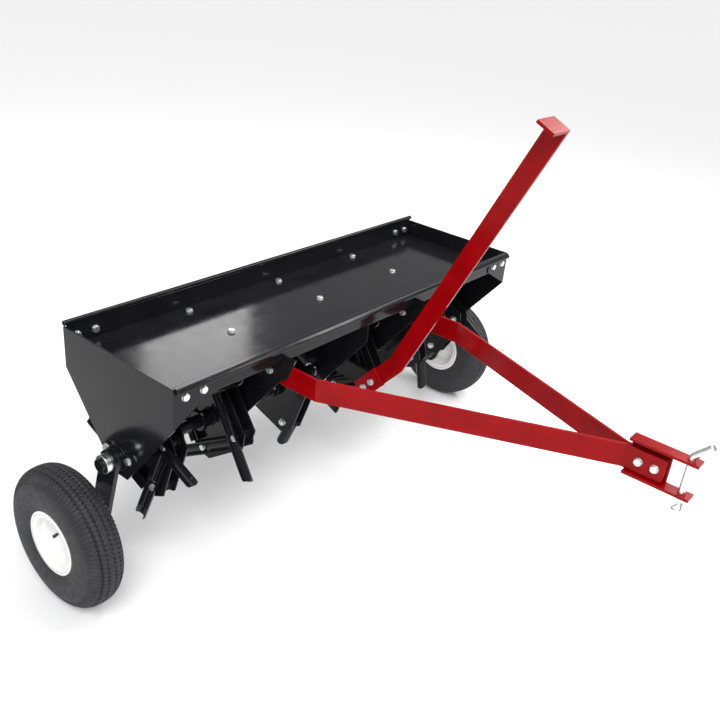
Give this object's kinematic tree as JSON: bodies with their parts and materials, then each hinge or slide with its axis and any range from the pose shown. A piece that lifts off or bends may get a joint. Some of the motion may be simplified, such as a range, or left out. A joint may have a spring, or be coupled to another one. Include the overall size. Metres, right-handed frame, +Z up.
{
  "type": "core aerator",
  "caption": "Tow-behind core aerator: weight tray on V-shaped plates, coring tine heads on a shaft, hand lever with crank arms and wheels, drawbar with hitch pin.",
  "frame": {"origin": "on the ground, in the middle of the overall length (tyres' back to the hitch pin's head) and of the overall width (over the tyres)", "axes": "+X along the tine shaft to the machine's left-hand side as towed, +Y towards the rear, +Z up; the drawbar points to -Y"},
  "size_m": [1.274, 1.0217, 0.9093],
  "materials": {
    "black_powder_coat": "gloss black powder coat with faint orange peel",
    "red_powder_coat": "gloss red powder coat",
    "tyre_rubber": "matt black rubber with moulded tread",
    "white_rim_enamel": "gloss white enamel on pressed steel",
    "bush_nylon": "moulded nylon",
    "bright_steel": "turned bright steel",
    "bright_zinc": "bright zinc plate",
    "zinc_fastener": "zinc-plated hexagon fasteners"
  },
  "bodies": {
    "frame": {"weight_tray": "black_powder_coat", "rear_rail": "black_powder_coat", "left_end_plate": "black_powder_coat", "right_end_plate": "black_powder_coat", "left_hanger": "black_powder_coat", "centre_hanger": "black_powder_coat", "right_hanger": "black_powder_coat", "drawbar_bracket": "black_powder_coat", "left_shaft_bearing": "black_powder_coat", "right_shaft_bearing": "black_powder_coat", "hanger_bushes": "bright_steel", "left_tongue": "red_powder_coat", "right_tongue": "red_powder_coat", "hitch_channel": "red_powder_coat", "hitch_bolts": "zinc_fastener", "tongue_bolts": "zinc_fastener", "floor_bolts": "zinc_fastener", "corner_bolts": "zinc_fastener", "bearing_bolts": "zinc_fastener"},
    "lift": {"lift_axle": "black_powder_coat", "shaft_collars": "black_powder_coat", "left_wheel_arm": "black_powder_coat", "right_wheel_arm": "black_powder_coat", "arm_collars": "bright_zinc", "left_wheel_axle": "bright_steel", "right_wheel_axle": "bright_steel", "axle_nuts": "zinc_fastener", "lift_hub_arm": "black_powder_coat", "lift_lever": "red_powder_coat", "lift_handle": "red_powder_coat", "lever_bolts": "zinc_fastener"},
    "left_wheel": {"left_tyre": "tyre_rubber", "left_rim": "white_rim_enamel", "left_hub_bush": "bush_nylon"},
    "right_wheel": {"right_tyre": "tyre_rubber", "right_rim": "white_rim_enamel", "right_hub_bush": "bush_nylon"},
    "tine_head_1": {"tine_plates_1": "black_powder_coat", "tine_spoons_1": "black_powder_coat", "tine_bolts_1": "zinc_fastener"},
    "tine_head_2": {"tine_plates_2": "black_powder_coat", "tine_spoons_2": "black_powder_coat", "tine_bolts_2": "zinc_fastener"},
    "tine_head_3": {"tine_plates_3": "black_powder_coat", "tine_spoons_3": "black_powder_coat", "tine_bolts_3": "zinc_fastener"},
    "tine_head_4": {"tine_plates_4": "black_powder_coat", "tine_spoons_4": "black_powder_coat", "tine_bolts_4": "zinc_fastener"},
    "tine_head_5": {"tine_plates_5": "black_powder_coat", "tine_spoons_5": "black_powder_coat", "tine_bolts_5": "zinc_fastener"},
    "tine_head_6": {"tine_plates_6": "black_powder_coat", "tine_spoons_6": "black_powder_coat", "tine_bolts_6": "zinc_fastener"},
    "hitch_pin": {"hitch_pin": "bright_zinc"},
    "hairpin_clip": {"hairpin_clip": "bright_zinc"}
  },
  "joints": [
    {"name": "axle_lift", "type": "hinge", "parent": "frame", "child": "lift", "pos_m": [0, 0.33196, 0.28706], "axis": [1, 0, 0], "range_deg": [-12, 27.5]},
    {"name": "left_wheel_spin", "type": "hinge", "parent": "lift", "child": "left_wheel", "pos_m": [0, 0.37386, 0.137], "axis": [1, 0, 0], "continuous": true},
    {"name": "right_wheel_spin", "type": "hinge", "parent": "lift", "child": "right_wheel", "pos_m": [0, 0.37386, 0.137], "axis": [1, 0, 0], "continuous": true},
    {"name": "tine_head_1_spin", "type": "hinge", "parent": "frame", "child": "tine_head_1", "pos_m": [0, 0.33196, 0.28706], "axis": [1, 0, 0], "continuous": true},
    {"name": "tine_head_2_spin", "type": "hinge", "parent": "frame", "child": "tine_head_2", "pos_m": [0, 0.33196, 0.28706], "axis": [1, 0, 0], "continuous": true},
    {"name": "tine_head_3_spin", "type": "hinge", "parent": "frame", "child": "tine_head_3", "pos_m": [0, 0.33196, 0.28706], "axis": [1, 0, 0], "continuous": true},
    {"name": "tine_head_4_spin", "type": "hinge", "parent": "frame", "child": "tine_head_4", "pos_m": [0, 0.33196, 0.28706], "axis": [1, 0, 0], "continuous": true},
    {"name": "tine_head_5_spin", "type": "hinge", "parent": "frame", "child": "tine_head_5", "pos_m": [0, 0.33196, 0.28706], "axis": [1, 0, 0], "continuous": true},
    {"name": "tine_head_6_spin", "type": "hinge", "parent": "frame", "child": "tine_head_6", "pos_m": [0, 0.33196, 0.28706], "axis": [1, 0, 0], "continuous": true},
    {"name": "hitch_pin_swivel", "type": "hinge", "parent": "frame", "child": "hitch_pin", "pos_m": [-0.022, -0.48004, 0.42856], "axis": [0, 0, 1], "continuous": true},
    {"name": "clip_pull", "type": "slide", "parent": "hitch_pin", "child": "hairpin_clip", "axis": [-1, 0, 0], "range_m": [0, 0.034]}
  ]
}
